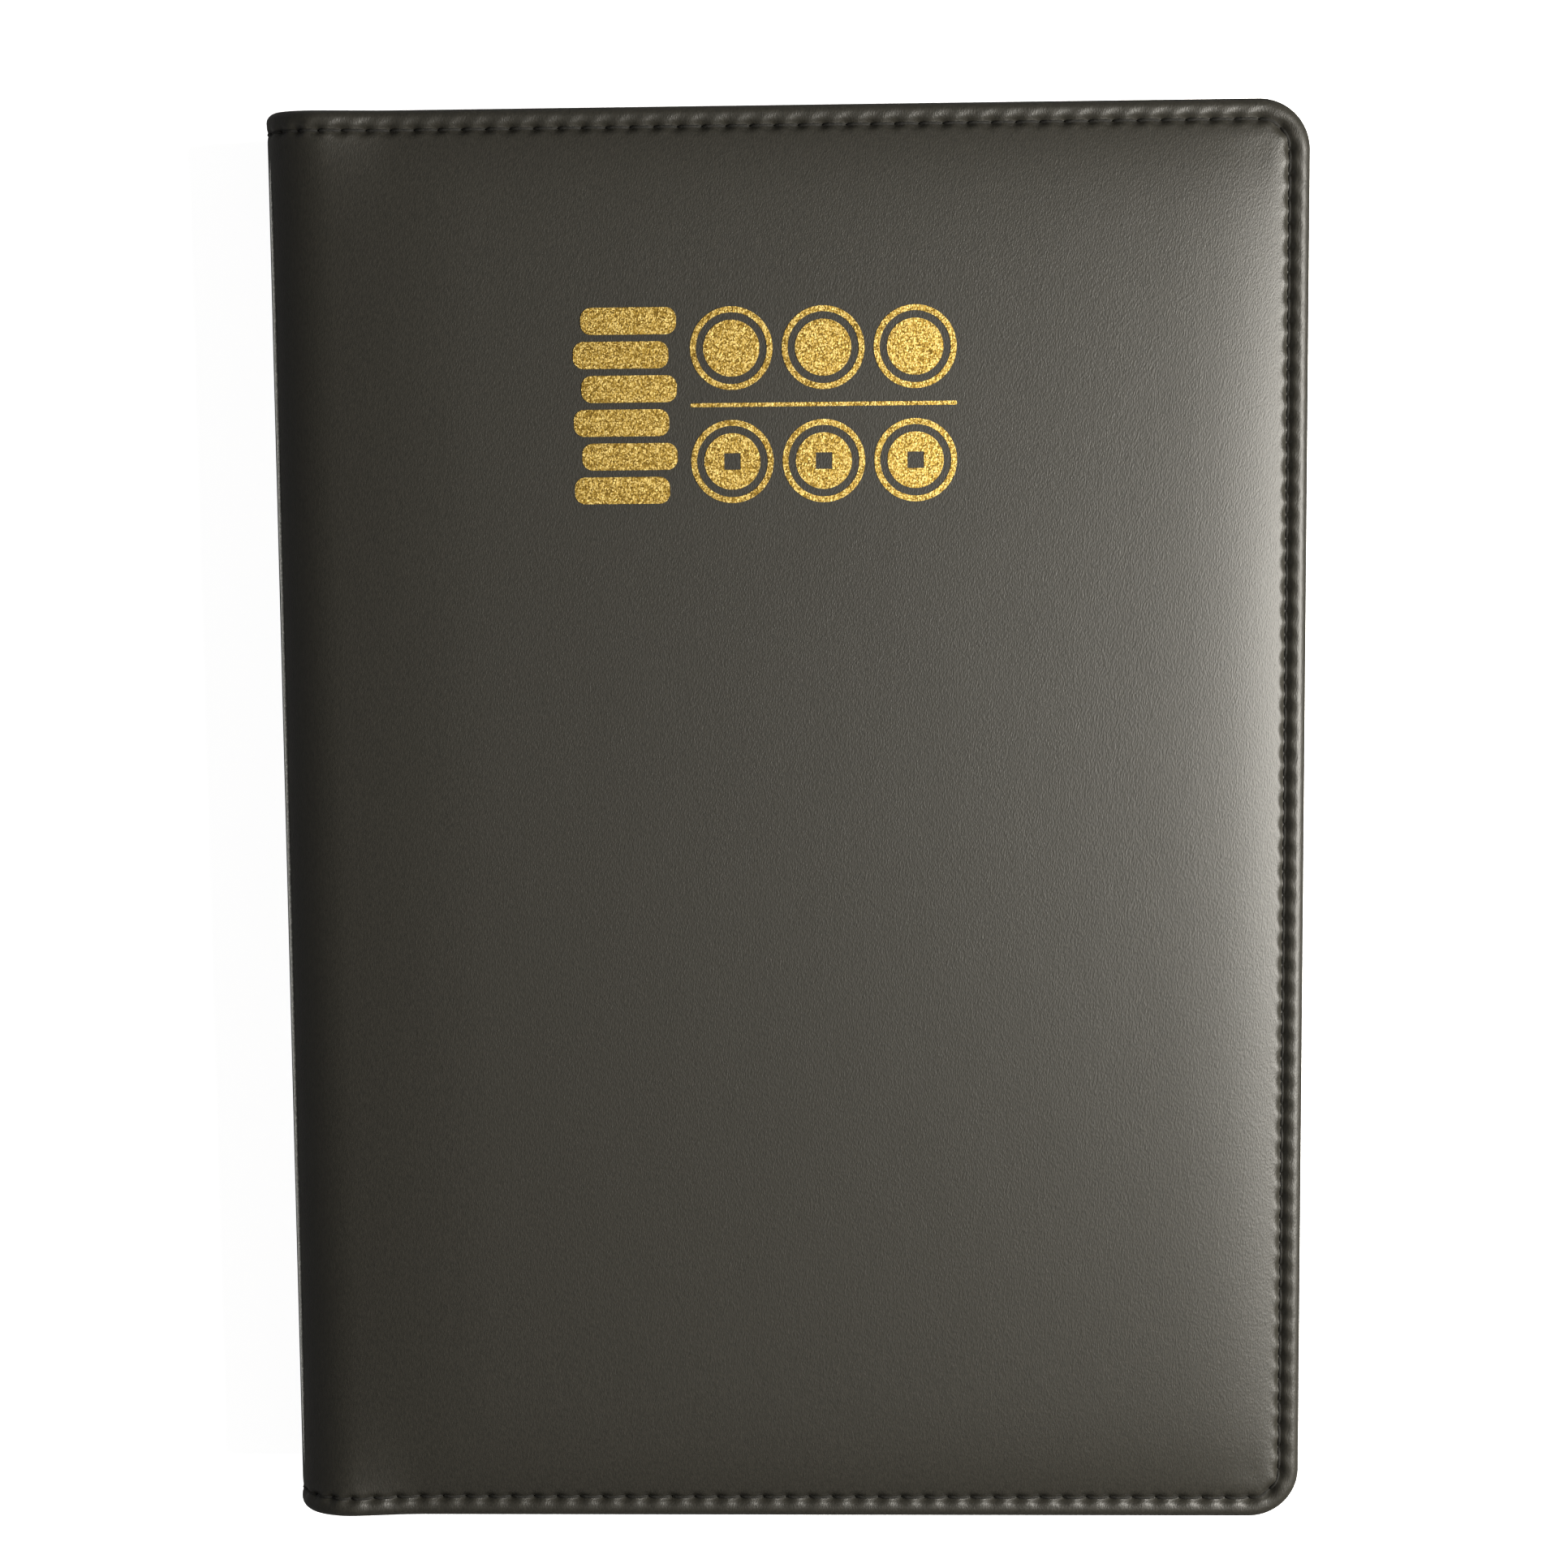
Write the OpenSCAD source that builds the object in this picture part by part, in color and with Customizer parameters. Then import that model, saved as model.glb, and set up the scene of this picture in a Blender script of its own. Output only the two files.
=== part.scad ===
// Coin album: a padded, stitched ring binder that holds punched leaves of coin pockets.
// It lies closed on its back cover, with the spine at -X and the head edge at +Y.
// Millimetres. The origin is the middle of the footprint, on the surface it lies on.

/* [Covers] */
// Width of the closed album, from the spine to the fore edge
album_w = 185; // [150:1:230]
// Height of the covers, from head to tail
album_h = 254; // [210:1:310]
// Thickness of the leatherette
leatherette_t = 0.8; // [0.6:0.1:1.1]
// Thickness of the foam in each cover, under the leatherette
foam_t = 3; // [2:0.1:4]
// Thickness of the greyboard in each cover
board_t = 2; // [1.6:0.1:3]
// Thickness of the lining inside the covers
lining_t = 0.4; // [0.3:0.1:0.6]
// Radius of the fore-edge corners
corner_r = 9; // [7:0.5:14]
// Width of the flat stitched rim around the padding
rim_w = 4.6; // [4.4:0.1:7]
// Width of the slope from the rim up to the top of the padding
shoulder_w = 9; // [5:0.5:14]
// How far the greyboard starts past the bend at the spine
board_setback = 1; // [0.5:0.5:4]
// Width of the leatherette turned in around the lining
turn_in_w = 1.6; // [1.2:0.1:3]

/* [Spine] */
// Outside radius of the bend between the spine and each cover
bend_r = 13; // [10.5:0.1:16]
// Thickness of the foam in the spine
spine_foam_t = 1.6; // [1.2:0.1:2.4]
// Thickness of the greyboard in the spine
spine_board_t = 1.8; // [1.4:0.1:2.4]
// Gap along the crease where a cover meets the spine
crease_gap = 0.3; // [0.2:0.1:0.6]
// Distance of the hinge line outside the leatherette
hinge_out = 0.2; // [0.1:0.1:0.4]
// Depth that the seam presses into the spine's leatherette at head and tail
spine_seam_depth = 0.6; // [0.55:0.05:0.7]

/* [Stitching] */
// Distance of the seam from the edge of the cover
seam_inset = 3.6; // [3.2:0.1:4]
// Distance from one stitch to the next
stitch_pitch = 4.2; // [3.4:0.1:6]
// Length of the thread that shows in one stitch
stitch_len = 2.8; // [2:0.1:3]
// Width of the thread
thread_w = 0.7; // [0.5:0.1:0.8]
// Height that the thread stands up
thread_h = 0.5; // [0.3:0.05:0.5]

/* [Foil emblem] */
// Distance of the emblem's left side from the spine
emblem_from_spine = 56; // [40:1:60]
// Distance of the emblem's upper side from the head edge
emblem_from_head = 35; // [25:1:60]
// Thickness of the foil
foil_t = 0.1; // [0.05:0.05:0.2]
// Number of bars in the stack of coins
stack_count = 6; // [3:1:8]
// Width of a bar in the stack
stack_bar_w = 16.8; // [14:0.1:20]
// Height of a bar in the stack
stack_bar_h = 4.7; // [4:0.1:5.5]
// Space between bars
stack_gap = 1.2; // [0.8:0.1:2]
// Sideways shift of every other bar
stack_shift = 1.4; // [0:0.1:2]
// Diameter of a round coin motif
coin_d = 14.5; // [12:0.1:18]
// Space between coin motifs in a row
coin_gap = 1.6; // [1:0.1:4]
// Thickness of the line between the two rows
rule_t = 0.7; // [0.4:0.1:1.2]

/* [Ring mechanism] */
// Inside diameter of a ring
ring_inner_d = 18; // [16:0.1:24]
// Diameter of the ring wire
ring_wire_d = 2.6; // [2.2:0.1:3.2]
// Distance between neighbouring rings
ring_pitch = 52; // [43:0.1:64]
// Clearance between the rings and each cover's lining
ring_clearance = 1.8; // [1.6:0.1:3]
// Width of the arched housing
housing_w = 18; // [17:0.5:21]
// Height of the arched housing
housing_h = 4; // [4:0.1:4.6]
// Thickness of the housing's steel
housing_t = 0.6; // [0.5:0.05:0.7]
// Thickness of the hinge plates under the housing
plate_t = 0.6; // [0.5:0.1:0.7]
// Height of the hinge plates above the spine lining
plate_lift = 0.9; // [0.8:0.05:1]
// Distance of each ring's foot from the middle of the housing
ring_foot_v = 4.8; // [4.4:0.1:5]
// Radius of the rivets that hold the housing to the spine
rivet_r = 1.5; // [1.2:0.1:2]
// Height of a lever's tab above the spine lining
lever_h = 11; // [8:0.5:14]

/* [Leaves] */
// Number of leaves on the rings
leaf_count = 10; // [10]
// Distance of the leaves from the head and tail edges
leaf_head_gap = 22; // [20:1:30]
// Distance of the leaves from the fore edge
leaf_fore_gap = 9.6; // [7:0.1:14]
// Distance from one leaf to the next at the rings
leaf_pitch = 1.15; // [1.1:0.01:1.2]
// Thickness of each of a leaf's two films
film_t = 0.25; // [0.2:0.05:0.25]
// Height of an empty pocket between the films
pocket_gap = 0.4; // [0.3:0.05:0.4]
// Diameter of the holes punched for the rings
hole_d = 7; // [6.6:0.1:8]
// Plastic left between a hole and the leaf's edge
hole_margin = 3; // [2.4:0.1:3.4]
// Width of the binding margin with no pockets
binding_w = 17; // [14:1:22]
// Pockets across a leaf
pocket_columns = 4; // [3:1:5]
// Pockets down a leaf
pocket_rows = 5; // [4:1:6]
// Width of a weld between pockets
weld_w = 1.5; // [1:0.1:2.5]
// Height of the open mouth above each row of pockets
mouth_h = 3; // [2:0.5:5]
// Clearance between the lowest leaf and the back lining
leaf_rest_gap = 1; // [0.7:0.1:1.5]
// Angle that the leaves fan by, from one to the next
leaf_fan = 0.2; // [0.15:0.01:0.22]

/* [Hidden] */
$fn = 48;
bend_steps = 12;
corner_steps = 12;
arch_steps = 16;
overlap = 0.5;
fit = 0.05;

// Levels of the front cover, from the padding down to the lining's inner face.
ring_r = (ring_inner_d + ring_wire_d) / 2;
cover_t = leatherette_t + foam_t + board_t + lining_t;
inner_gap = ring_inner_d + 2 * ring_wire_d + 2 * ring_clearance;
album_t = 2 * cover_t + inner_gap;
mid_z = album_t / 2;
z_foam_top = album_t - leatherette_t;
z_board_top = z_foam_top - foam_t;
z_rim = z_board_top + leatherette_t;
z_board_low = z_board_top - board_t;
z_inner = z_board_low - lining_t;
pad_corner_r = 3;

// Section of the spine: outermost face, bend centres and the lining's inner face.
spine_x = -album_w / 2;
fore_x = album_w / 2;
bend_x = spine_x + bend_r;
bend_z = album_t - bend_r;
spine_board_x = spine_x + leatherette_t + spine_foam_t;
spine_lining_x = spine_board_x + spine_board_t;
mech_x = spine_lining_x + lining_t;
inner_bend_r = bend_r - leatherette_t;
pressed_r = inner_bend_r - spine_seam_depth;
corner_gap = 0.1;
spine_board_half = spine_half(spine_board_x);
spine_lining_half = min(
    spine_half(spine_lining_x), mid_z - bend_r + bend_x - mech_x - crease_gap);
hinge_offset = (bend_r + hinge_out) * cos(45);
hinge_x = bend_x - hinge_offset;
hinge_z = bend_z + hinge_offset;

// Foil emblem, as shares of a coin's diameter and of a bar's height.
coin_ring_share = 0.07;
coin_disc_share = 0.34;
coin_hole_share = 0.2;
bar_round_share = 0.4;

// First stitch on a bend: how far past the bend's start, in degrees and in stitches.
bend_stitch_from = 2;
bend_stitch_phase = 0.3;

// Ring mechanism, in its own frame: x away from the spine, z across it.
plate_top = plate_lift + plate_t;
ring_x = plate_top + sqrt(pow(ring_r, 2) - pow(ring_foot_v, 2));
arch_r = (pow(housing_w / 2, 2) + pow(housing_h, 2)) / (2 * housing_h);
arch_x = housing_h - arch_r;
arch_inner_r = arch_r - housing_t;
plate_side_gap = 0.1;
plate_edge_v = sqrt(pow(arch_inner_r, 2) - pow(plate_top - arch_x, 2)) - plate_side_gap;
plate_seam = 0.1;
ring_tip_gap = 0.1;
ring_arc_end = 175;
ring_ys = [for (i = [-1.5, -0.5, 0.5, 1.5]) i * ring_pitch];
rivet_ys = [-ring_pitch, ring_pitch];
slot_side_gap = 0.5;
slot_half = ring_wire_d / 2 + slot_side_gap;
slot_swing_gap = 0.7;
slot_inner_v = ring_foot_v - ring_wire_d / 2 - slot_swing_gap;
tenon_r = 0.8;
rivet_head_r = 3.2;
rivet_head_t = 0.7;
rivet_tail = 0.3;
washer_r = 3.4;
washer_t = 0.4;
washer_x = -lining_t - spine_board_t;
plate_rivet_gap = 1;
plate_end_gap = 0.4;
lever_w = 10;
lever_pin_r = 0.8;
lever_boss_r = 1.4;
lever_pin_x = 1.6;
lever_tab_t = 1;
lever_lip_r = 0.8;
lever_tongue_reach = 2.8;
lever_tongue_w = 1.6;
lever_tongue_t = 0.5;
lever_tongue_lift = 0.15;
lever_end_room = 2;
lever_side_gap = 0.2;
lever_gap = 1.1;
pin_end = 0.3;

// Leaves.
leaf_t = 2 * film_t + pocket_gap;
leaf_half_h = album_h / 2 - leaf_head_gap;
hole_inset = hole_d / 2 + hole_margin;
stack_half = (leaf_count - 1) / 2 * leaf_pitch;
leaf_reach = fore_x - leaf_fore_gap - mech_x - ring_x;
leaf_edge_x = ring_r - hole_inset;
leaf_w = leaf_reach - leaf_edge_x;
leaf_drop = mid_z - stack_half - leaf_t / 2 - cover_t - leaf_rest_gap;
lowest_tilt = asin(leaf_drop / leaf_reach);
pocket_w = (leaf_w - binding_w - weld_w) / pocket_columns;
pocket_h = 2 * leaf_half_h / pocket_rows;
lever_y = leaf_half_h + lever_gap + lever_boss_r;
housing_half = lever_y + lever_end_room;
plate_half = lever_y - lever_boss_r - plate_end_gap;

COVER_PIECES = ["leatherette", "foam", "board", "lining", "stitching"];
MECHANISM_NODES = [
    "ring_housing", "front_hinge_plate", "back_hinge_plate", "front_ring_halves",
    "back_ring_halves", "top_lever", "bottom_lever", "lever_pins", "housing_rivets", "rivet_washers"
];

function leaf_name(k, piece) = str("leaf_", k < 10 ? "0" : "", k, "_", piece);

// Half the height, up the spine, at which a corner at x still clears the pressed leatherette.
function spine_half(x) = mid_z - bend_r + sqrt(pow(pressed_r, 2) - pow(bend_x - x, 2)) - corner_gap;

function arc(cx, cy, r, from, to, steps) =
    [for (i = [0:steps]) let (a = from + (to - from) * i / steps) [cx + r * cos(a), cy + r * sin(a)]];

function rounded_box(w, h, r) = concat(
    arc(w - r, r, r, -90, 0, corner_steps), arc(w - r, h - r, r, 0, 90, corner_steps),
    arc(r, h - r, r, 90, 180, corner_steps), arc(r, r, r, 180, 270, corner_steps)
);

// Outline of a cover seen from above, set in from its edges, starting at x0.
function cover_outline(inset, x0) =
    let (r = max(corner_r - inset, pad_corner_r), x1 = fore_x - inset, y1 = album_h / 2 - inset)
    concat([[x0, -y1]], arc(x1 - r, r - y1, r, -90, 0, corner_steps),
        arc(x1 - r, y1 - r, r, 0, 90, corner_steps), [[x0, y1]]);

// Angle of the crease at radius r, measured back from the diagonal.
function crease_angle(r) = asin(crease_gap / 2 / r);

// Section of leatherette on the bend, from the flat of the front cover to the crease.
function bend_section(inset) =
    let (ro = bend_r - inset, ri = ro - leatherette_t)
    concat([[bend_x + overlap, bend_z + ro]], arc(bend_x, bend_z, ro, 90, 135 - crease_angle(ro), bend_steps),
        arc(bend_x, bend_z, ri, 135 - crease_angle(ri), 90, bend_steps), [[bend_x + overlap, bend_z + ri]]);

// Section of leatherette around the spine, from crease to crease.
function spine_section(inset) =
    let (ro = bend_r - inset, ri = ro - leatherette_t)
    concat(arc(bend_x, bend_z, ro, 135 + crease_angle(ro), 180, bend_steps),
        arc(bend_x, bend_r, ro, 180, 225 - crease_angle(ro), bend_steps),
        arc(bend_x, bend_r, ri, 225 - crease_angle(ri), 180, bend_steps),
        arc(bend_x, bend_z, ri, 180, 135 + crease_angle(ri), bend_steps));

// Inner face of the spine's leatherette, around the bend centred at height cz.
function spine_inner_arc(cz, from, to) = arc(bend_x, cz, inner_bend_r, from, to, bend_steps);

// Draws a section in X and Z, drawn out along Y.
module along_y(length) rotate([90, 0, 0]) linear_extrude(length, center = true) children();

// Repeats its children at the head and tail ends.
module at_both_ends(y) for (side = [-1, 1]) translate([0, side * y, 0]) children();

// Mirrors a piece of the front cover into the back cover.
module to_back() translate([0, 0, album_t]) mirror([0, 0, 1]) children();

module flat_piece(points, z0, z1) translate([0, 0, z0]) linear_extrude(z1 - z0) polygon(points);

// Sloped block of padding between two outlines.
module pad_block(low_inset, low_z, top_inset, top_z) {
    skin = 0.02;
    hull() {
        flat_piece(cover_outline(low_inset, bend_x), low_z, low_z + skin);
        flat_piece(cover_outline(top_inset, bend_x), top_z - skin, top_z);
    }
}

module cover_foam_block() pad_block(
    rim_w + leatherette_t, z_board_top, rim_w + shoulder_w + leatherette_t / 2, z_foam_top);

// Leatherette of the front cover: padded top, rim, turned edge and its half of the bend.
module cover_leatherette() {
    difference() {
        union() {
            flat_piece(cover_outline(0, bend_x), z_board_top, z_rim);
            pad_block(rim_w, z_rim - overlap, rim_w + shoulder_w, album_t);
        }
        cover_foam_block();
        flat_piece(cover_outline(rim_w + leatherette_t, bend_x - 1), z_board_top - 1, z_board_top);
    }
    difference() {
        flat_piece(cover_outline(0, bend_x), z_inner, z_board_top);
        flat_piece(cover_outline(leatherette_t, bend_x - 1), z_board_low, z_board_top + 1);
        flat_piece(cover_outline(turn_in_w, bend_x - 1), z_inner - 1, z_board_low + 1);
    }
    along_y(album_h - 2 * rim_w) polygon(bend_section(0));
    at_both_ends(album_h / 2 - rim_w / 2) along_y(rim_w) polygon(bend_section(spine_seam_depth));
}

module cover_board() flat_piece(
    cover_outline(leatherette_t, bend_x + board_setback), z_board_low, z_board_top);

// The lining runs on past the board to the crease.
module cover_lining() flat_piece(
    cover_outline(turn_in_w, bend_x - (z_inner - bend_z) + crease_gap), z_inner, z_board_low);

module stitch() translate([-stitch_len / 2, -thread_w / 2, 0]) cube([stitch_len, thread_w, thread_h]);

// Stitches in a straight run between two points on the rim.
module stitch_run(from, to) {
    length = norm(to - from);
    count = round(length / stitch_pitch);
    turn = atan2(to.y - from.y, to.x - from.x);
    for (i = [0:count - 1]) {
        p = from + (to - from) * (i + 0.5) / count;
        translate([p.x, p.y, z_rim]) rotate([0, 0, turn]) stitch();
    }
}

// Stitches around one fore-edge corner.
module stitch_corner(side) {
    r = corner_r - seam_inset;
    count = round(r * PI / 2 / stitch_pitch);
    for (i = [0:count - 1]) {
        a = side * 90 * (i + 0.5) / count;
        translate([fore_x - corner_r + r * cos(a), side * (album_h / 2 - corner_r) + r * sin(a), z_rim])
            rotate([0, 0, a + 90]) stitch();
    }
}

// Stitches over a bend, at the angles given, on the pressed band at head and tail.
module stitch_bend(angles, cz) {
    r = bend_r - spine_seam_depth;
    for (a = angles) at_both_ends(album_h / 2 - seam_inset)
        translate([bend_x + r * cos(a), 0, cz + r * sin(a)]) rotate([0, 90 - a, 0]) stitch();
}

module cover_stitching() {
    y = album_h / 2 - seam_inset;
    x1 = fore_x - corner_r;
    step = stitch_pitch / bend_r * 180 / PI;
    for (side = [-1, 1]) {
        stitch_run([bend_x + 1, side * y], [x1, side * y]);
        stitch_corner(side);
    }
    stitch_run([fore_x - seam_inset, corner_r - album_h / 2], [fore_x - seam_inset, album_h / 2 - corner_r]);
    stitch_bend([for (i = [0, 1]) 90 + bend_stitch_from + step * (i + bend_stitch_phase)], bend_z);
}

module front_leatherette() color("#3a3834") cover_leatherette();
module front_foam() color("gray") cover_foam_block();
module front_board() color("tan") cover_board();
module front_lining() color("#242424") cover_lining();
module front_stitching() color("#1c1c1a") cover_stitching();
module back_leatherette() color("#3a3834") to_back() cover_leatherette();
module back_foam() color("gray") to_back() cover_foam_block();
module back_board() color("tan") to_back() cover_board();
module back_lining() color("#242424") to_back() cover_lining();
module back_stitching() color("#1c1c1a") to_back() cover_stitching();

module spine_leatherette() color("#3a3834") {
    along_y(album_h - 2 * rim_w) polygon(spine_section(0));
    at_both_ends(album_h / 2 - rim_w / 2) along_y(rim_w) polygon(spine_section(spine_seam_depth));
}

// Foam between the leatherette and the spine board, with room for the rivets' washers.
module spine_foam() color("gray") difference() {
    along_y(album_h - 2 * rim_w) intersection() {
        polygon(concat(spine_inner_arc(bend_z, 135 + crease_angle(inner_bend_r), 180),
            spine_inner_arc(bend_r, 180, 225 - crease_angle(inner_bend_r))));
        translate([spine_x, mid_z - spine_board_half]) square([spine_board_x - spine_x, 2 * spine_board_half]);
    }
    rivet_rods(washer_r + fit, -bend_r, 0);
}

module spine_board() color("tan") difference() {
    translate([spine_board_x, rim_w / 2 - album_h / 2, mid_z - spine_board_half])
        cube([spine_board_t, album_h - rim_w, 2 * spine_board_half]);
    rivet_holes();
}

module spine_lining() color("#242424") difference() {
    translate([spine_lining_x, turn_in_w - album_h / 2, mid_z - spine_lining_half])
        cube([lining_t, album_h - 2 * turn_in_w, 2 * spine_lining_half]);
    rivet_holes();
}

module spine_stitching() color("#1c1c1a") {
    step = stitch_pitch / bend_r * 180 / PI;
    stitch_bend([for (i = [0, 1]) 180 - bend_stitch_from - step * (i + bend_stitch_phase)], bend_z);
    stitch_bend([for (i = [0, 1]) 180 + bend_stitch_from + step * (i + bend_stitch_phase)], bend_r);
    flat = album_t - 2 * bend_r;
    count = round(flat / stitch_pitch);
    for (i = [0:count - 1]) at_both_ends(album_h / 2 - seam_inset)
        translate([spine_x + spine_seam_depth, 0, bend_r + flat * (i + 0.5) / count])
            rotate([0, -90, 0]) stitch();
}

// Foil emblem: a stack of coins seen from the side, beside two rows of round coins.
module foil(points) linear_extrude(foil_t) polygon(points);

module coin_motif(square_hole) {
    ring_w = coin_d * coin_ring_share;
    disc_r = coin_d * coin_disc_share;
    hole = coin_d * coin_hole_share;
    difference() {
        cylinder(d = coin_d, h = foil_t);
        translate([0, 0, -1]) cylinder(d = coin_d - 2 * ring_w, h = foil_t + 2);
    }
    difference() {
        cylinder(r = disc_r, h = foil_t);
        if (square_hole) translate([-hole / 2, -hole / 2, -1]) cube([hole, hole, foil_t + 2]);
    }
}

module front_foil_emblem() color("goldenrod") {
    bar_step = stack_bar_h + stack_gap;
    height = stack_count * bar_step - stack_gap;
    rows_x = stack_bar_w + stack_shift + coin_gap * 1.5;
    row_w = 3 * coin_d + 2 * coin_gap;
    translate([spine_x + emblem_from_spine, album_h / 2 - emblem_from_head - height, album_t]) {
        for (i = [0:stack_count - 1]) translate([i % 2 * stack_shift, i * bar_step, 0])
            foil(rounded_box(stack_bar_w, stack_bar_h, stack_bar_h * bar_round_share));
        translate([rows_x, height / 2 - rule_t / 2, 0]) foil(rounded_box(row_w, rule_t, rule_t / 3));
        for (i = [0:2]) translate([rows_x + coin_d / 2 + i * (coin_d + coin_gap), 0, 0]) {
            translate([0, coin_d / 2, 0]) coin_motif(true);
            translate([0, height - coin_d / 2, 0]) coin_motif(false);
        }
    }
}

// Places a piece of the ring mechanism on the spine lining.
module in_mechanism() translate([mech_x, 0, mid_z]) children();

// A rod across the spine, from x0 to x1 in the mechanism's frame.
module rod_out(r, x0, x1) translate([x0, 0, 0]) rotate([0, 90, 0]) cylinder(r = r, h = x1 - x0);

// Rods at the two rivets, from x0 to x1 in the mechanism's frame.
module rivet_rods(r, x0, x1) in_mechanism() for (y = rivet_ys) translate([0, y, 0]) rod_out(r, x0, x1);

module rivet_holes() rivet_rods(rivet_r + fit, -bend_r, bend_r);

// Pin hole or pin across the mechanism, through both ears of the housing.
module lever_rod(r, half) for (y = [-lever_y, lever_y]) translate([lever_pin_x, y, -half])
    cylinder(r = r, h = 2 * half);

// Cut-out at the head end that leaves an ear on each side of the lever.
module lever_notch() translate([-1, plate_half + lever_side_gap, -lever_w / 2 - lever_side_gap])
    cube([housing_h + 2, housing_half, lever_w + 2 * lever_side_gap]);

// Arched housing, with a slot for each ring half and a notch for each lever.
module ring_housing() color("silver") difference() {
    outer_half = asin(housing_w / 2 / arch_r);
    inner_half = acos(-arch_x / arch_inner_r);
    in_mechanism() along_y(2 * housing_half) polygon(concat(
        arc(arch_x, 0, arch_r, -outer_half, outer_half, arch_steps),
        arc(arch_x, 0, arch_inner_r, inner_half, -inner_half, arch_steps)));
    in_mechanism() for (y = ring_ys) for (side = [0, 1]) mirror([0, 0, side])
        translate([-1, y - slot_half, slot_inner_v]) cube([housing_h + 2, 2 * slot_half, housing_w]);
    in_mechanism() for (side = [0, 1]) mirror([0, side, 0]) lever_notch();
    in_mechanism() lever_rod(lever_pin_r, housing_w);
    rivet_holes();
}

// One hinge plate, on the front side of the middle line.
module hinge_plate() difference() {
    in_mechanism() translate([plate_lift, -plate_half, plate_seam])
        cube([plate_t, 2 * plate_half, plate_edge_v - plate_seam]);
    in_mechanism() for (y = ring_ys) translate([0, y, ring_foot_v]) rod_out(tenon_r, 0, housing_h);
    rivet_rods(rivet_r + plate_rivet_gap, 0, housing_h);
}

// Ring halves on the front side, each with a tenon riveted into the hinge plate.
module ring_halves() in_mechanism() for (y = ring_ys) translate([0, y, 0]) {
    start = asin(ring_tip_gap / ring_r);
    intersection() {
        translate([ring_x, 0, 0]) rotate([90, 0, 0]) rotate([0, 0, start])
            rotate_extrude(angle = ring_arc_end - start) translate([ring_r, 0]) circle(d = ring_wire_d);
        translate([plate_top, -ring_wire_d, 0]) cube([2 * ring_x, 2 * ring_wire_d, album_t]);
    }
    translate([0, 0, ring_foot_v]) rod_out(tenon_r, plate_lift, plate_top + overlap);
}

// Lever at the head end: tab, boss around its pin, and tongue under the hinge plates.
module lever() in_mechanism() translate([lever_pin_x, lever_y, 0]) difference() {
    union() {
        translate([0, 0, -lever_w / 2]) cylinder(r = lever_boss_r, h = lever_w);
        translate([0, lever_boss_r - lever_tab_t, -lever_w / 2])
            cube([lever_h - lever_pin_x, lever_tab_t, lever_w]);
        translate([lever_h - lever_pin_x, lever_boss_r - lever_tab_t / 2, -lever_w / 2])
            cylinder(r = lever_lip_r, h = lever_w);
        translate([lever_tongue_lift - lever_pin_x, -lever_tongue_reach, -lever_tongue_w / 2])
            cube([lever_tongue_t, lever_tongue_reach, lever_tongue_w]);
    }
    translate([0, 0, -lever_w]) cylinder(r = lever_pin_r + fit, h = 2 * lever_w);
}

module front_hinge_plate() color("silver") hinge_plate();
module back_hinge_plate() color("silver") to_back() hinge_plate();
module front_ring_halves() color("silver") ring_halves();
module back_ring_halves() color("silver") to_back() ring_halves();
module top_lever() color("silver") lever();
module bottom_lever() color("silver") mirror([0, 1, 0]) lever();

module lever_pins() color("silver") in_mechanism()
    lever_rod(lever_pin_r, sqrt(pow(arch_r, 2) - pow(lever_pin_x - arch_x, 2)) + pin_end);

module housing_rivets() color("silver") {
    rivet_rods(rivet_r, washer_x - washer_t - rivet_tail, housing_h + rivet_head_t / 2);
    rivet_rods(rivet_head_r, housing_h, housing_h + rivet_head_t);
}

module rivet_washers() color("silver") difference() {
    rivet_rods(washer_r, washer_x - washer_t, washer_x);
    rivet_holes();
}

// Places leaf k on the rings: k counts down from the top of the pile.
module on_rings(k) {
    h = stack_half - (k - 1) * leaf_pitch;
    tilt = lowest_tilt - (leaf_count - k) * leaf_fan;
    in_mechanism() translate([ring_x, 0, 0]) rotate([0, tilt, 0])
        translate([sqrt(pow(ring_r, 2) - pow(h, 2)) - hole_inset, 0, h]) children();
}

module leaf_sheet(k) color("aliceblue") on_rings(k) difference() {
    translate([0, -leaf_half_h, -leaf_t / 2]) cube([leaf_w, 2 * leaf_half_h, film_t]);
    for (y = ring_ys) translate([hole_inset, y, -leaf_t]) cylinder(d = hole_d, h = leaf_t);
}

// One strip of film per row, each open along its upper edge.
module leaf_pockets(k) color("aliceblue") on_rings(k) for (row = [0:pocket_rows - 1])
    translate([binding_w, row * pocket_h - leaf_half_h, pocket_gap / 2])
        cube([leaf_w - binding_w, pocket_h - mouth_h, film_t]);

// Welds between the films: one line under each row and one up each side of every pocket.
module leaf_welds(k) color("aliceblue") on_rings(k) translate([0, 0, -pocket_gap / 2]) {
    for (row = [0:pocket_rows - 1]) translate([binding_w, row * pocket_h - leaf_half_h, 0]) {
        cube([leaf_w - binding_w, weld_w, pocket_gap]);
        for (column = [0:pocket_columns]) translate([column * pocket_w, 0, 0])
            cube([weld_w, pocket_h - mouth_h, pocket_gap]);
    }
}

front_leatherette();
front_foam();
front_board();
front_lining();
front_stitching();
spine_leatherette();
spine_foam();
spine_board();
spine_lining();
spine_stitching();
back_leatherette();
back_foam();
back_board();
back_lining();
back_stitching();
front_foil_emblem();
ring_housing();
front_hinge_plate();
back_hinge_plate();
front_ring_halves();
back_ring_halves();
top_lever();
bottom_lever();
lever_pins();
housing_rivets();
rivet_washers();
for (k = [1:leaf_count]) {
    leaf_sheet(k);
    leaf_pockets(k);
    leaf_welds(k);
}
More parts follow.
